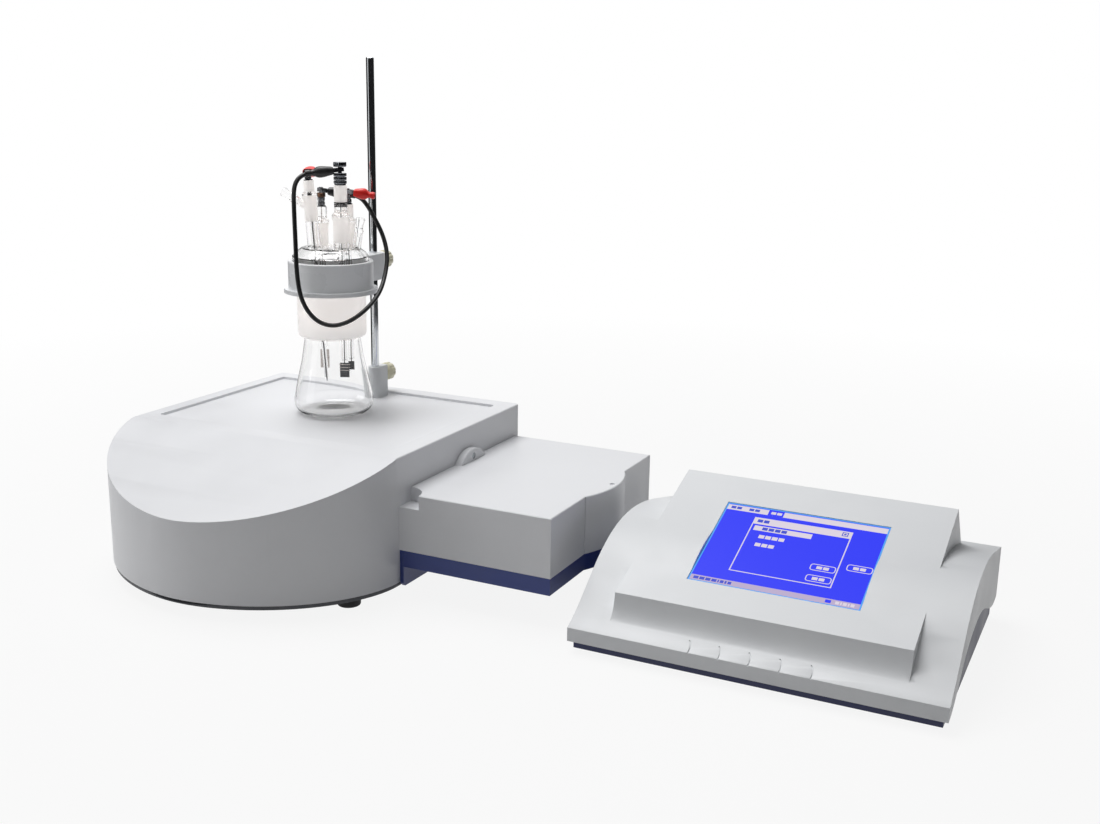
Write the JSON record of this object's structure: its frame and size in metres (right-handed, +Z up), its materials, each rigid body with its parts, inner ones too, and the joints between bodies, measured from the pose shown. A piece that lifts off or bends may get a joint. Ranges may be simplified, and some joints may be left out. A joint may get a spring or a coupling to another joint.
{
  "type": "automatic titrator",
  "caption": "Bench titrator: stirring stand with rod-held glass titration cell and clipped electrodes, side measuring unit, and separate touch-screen control unit.",
  "frame": {"origin": "middle of the footprint's bounding box, on the bench", "axes": "+Z up, -Y the side that the user faces, +X the user's right: stand on the left, measuring unit in the middle, control unit on the right"},
  "size_m": [0.7814, 0.362, 0.4715],
  "materials": {
    "housing_plastic": "fine-textured moulded plastic, warm light grey",
    "base_plastic": "dark grey moulded plastic",
    "tray_plastic": "blue moulded plastic",
    "lower_shell_plastic": "dark blue moulded plastic",
    "foot_rubber": "matt rubber",
    "screw_steel": "zinc-plated steel",
    "boss_plastic": "mid-grey moulded plastic",
    "rod_chrome": "polished chrome plating",
    "knob_plastic": "cream moulded plastic",
    "bracket_steel": "bare sheet steel",
    "motor_can": "plated steel can",
    "rotor_aluminium": "turned aluminium",
    "magnet_nickel": "nickel-plated",
    "board_laminate": "green board laminate",
    "supply_case": "folded sheet",
    "black_plastic": "black moulded plastic",
    "socket_nickel": "nickel-plated brass",
    "clear_glass": "clear blown glass with ground joints",
    "terminal_metal": "turned nickel-plated metal",
    "platinum": "platinum foil and wire",
    "clip_steel": "nickel-plated sheet",
    "boot_black": "soft black sleeve",
    "boot_red": "soft red sleeve",
    "lead_black": "flexible black insulation",
    "panel_glass": "clear touch panel",
    "display_face": "lit liquid crystal display"
  },
  "bodies": {
    "root": {"stand_housing": "housing_plastic", "stand_base_plate": "base_plastic", "stand_feet": "foot_rubber", "case_screws": "screw_steel", "rod_boss": "boss_plastic", "support_rod": "rod_chrome", "motor_bracket": "bracket_steel", "stir_motor": "motor_can", "stand_circuit_board": "board_laminate", "power_supply": "supply_case", "power_inlets": "black_plastic", "switch_frames": "black_plastic", "docking_plate": "tray_plastic", "unit_cover": "housing_plastic", "unit_tray": "tray_plastic", "unit_board": "board_laminate", "control_housing": "housing_plastic", "control_lower_shell": "lower_shell_plastic", "control_feet": "foot_rubber", "touch_panel": "panel_glass", "display_module": "display_face", "control_board": "board_laminate", "stand_sockets": "socket_nickel", "unit_sockets": "socket_nickel", "control_sockets": "socket_nickel"},
    "boss_clamp": {"boss_clamp_screw": "screw_steel", "boss_clamp_knob": "knob_plastic"},
    "stir_drive": {"stir_rotor": "rotor_aluminium", "stir_magnets": "magnet_nickel"},
    "stand_switch": {"stand_rocker": "black_plastic"},
    "control_switch": {"control_rocker": "black_plastic"},
    "vessel": {"titration_flask": "clear_glass"},
    "holder": {"vessel_holder": "boss_plastic", "cell_lid": "clear_glass", "main_electrode": "clear_glass", "pair_electrode": "clear_glass", "thin_electrode": "clear_glass", "side_electrode": "clear_glass", "main_terminal": "terminal_metal", "pair_terminal": "terminal_metal", "thin_terminal": "terminal_metal", "side_terminal": "terminal_metal", "electrode_foils": "platinum", "clip_fixed_jaws": "clip_steel", "main_clip_boot": "boot_black", "pair_clip_boot": "boot_black", "thin_clip_boot": "boot_red", "side_clip_boot": "boot_red", "black_lead": "lead_black"},
    "holder_clamp": {"holder_clamp_screw": "screw_steel", "holder_clamp_knob": "knob_plastic"},
    "left_stopper": {"left_stopper": "clear_glass"},
    "right_stopper": {"right_stopper": "clear_glass"},
    "main_jaw": {"main_clip_jaw": "clip_steel"},
    "pair_jaw": {"pair_clip_jaw": "clip_steel"},
    "thin_jaw": {"thin_clip_jaw": "clip_steel"},
    "side_jaw": {"side_clip_jaw": "clip_steel"}
  },
  "joints": [
    {"name": "boss_clamp_turn", "type": "hinge", "parent": "root", "child": "boss_clamp", "pos_m": [-0.24075, 0.1477, 0.1515], "axis": [0, 1, 0], "range_deg": [0, 360]},
    {"name": "stirrer_spin", "type": "hinge", "parent": "root", "child": "stir_drive", "pos_m": [-0.24075, 0.0605, 0.107], "axis": [0, 0, 1], "continuous": true},
    {"name": "stand_switch_rock", "type": "hinge", "parent": "root", "child": "stand_switch", "pos_m": [-0.30675, 0.1699, 0.0575], "axis": [1, 0, 0], "range_deg": [-16, 0]},
    {"name": "control_switch_rock", "type": "hinge", "parent": "root", "child": "control_switch", "pos_m": [0.17825, 0.1479, 0.044], "axis": [1, 0, 0], "range_deg": [-16, 0]},
    {"name": "holder_swivel", "type": "hinge", "parent": "root", "child": "vessel", "pos_m": [-0.24075, 0.1345, 0.128], "axis": [0, 0, 1], "range_deg": [-70, 70]},
    {"name": "holder_lift", "type": "slide", "parent": "vessel", "child": "holder", "axis": [0, 0, 1], "range_m": [0, 0.18]},
    {"name": "holder_clamp_turn", "type": "hinge", "parent": "holder", "child": "holder_clamp", "pos_m": [-0.24075, 0.146, 0.2706], "axis": [0, 1, 0], "range_deg": [0, 360]},
    {"name": "left_stopper_pull", "type": "slide", "parent": "holder", "child": "left_stopper", "axis": [-0.7449, -0.4166, 0.5212], "range_m": [0, 0.007]},
    {"name": "right_stopper_pull", "type": "slide", "parent": "holder", "child": "right_stopper", "axis": [0.1335, 0.0647, 0.9889], "range_m": [0, 0.007]},
    {"name": "main_clip_open", "type": "hinge", "parent": "holder", "child": "main_jaw", "pos_m": [-0.23104, 0.0465, 0.3658], "axis": [0.066, 0.0811, -0.9945], "range_deg": [0, 18], "stiffness_Nm_per_rad": 0.06, "springref_deg": -14.32},
    {"name": "pair_clip_open", "type": "hinge", "parent": "holder", "child": "pair_jaw", "pos_m": [-0.24806, 0.07696, 0.3439], "axis": [-0.1252, -0.0607, -0.9903], "range_deg": [0, 18], "stiffness_Nm_per_rad": 0.06, "springref_deg": -14.32},
    {"name": "thin_clip_open", "type": "hinge", "parent": "holder", "child": "thin_jaw", "pos_m": [-0.26509, 0.06383, 0.3624], "axis": [0, 0, -1], "range_deg": [0, 18], "stiffness_Nm_per_rad": 0.06, "springref_deg": -14.32},
    {"name": "side_clip_open", "type": "hinge", "parent": "holder", "child": "side_jaw", "pos_m": [-0.21723, 0.0768, 0.3439], "axis": [-0.1325, -0.0427, -0.9903], "range_deg": [0, 18], "stiffness_Nm_per_rad": 0.06, "springref_deg": -14.32}
  ]
}
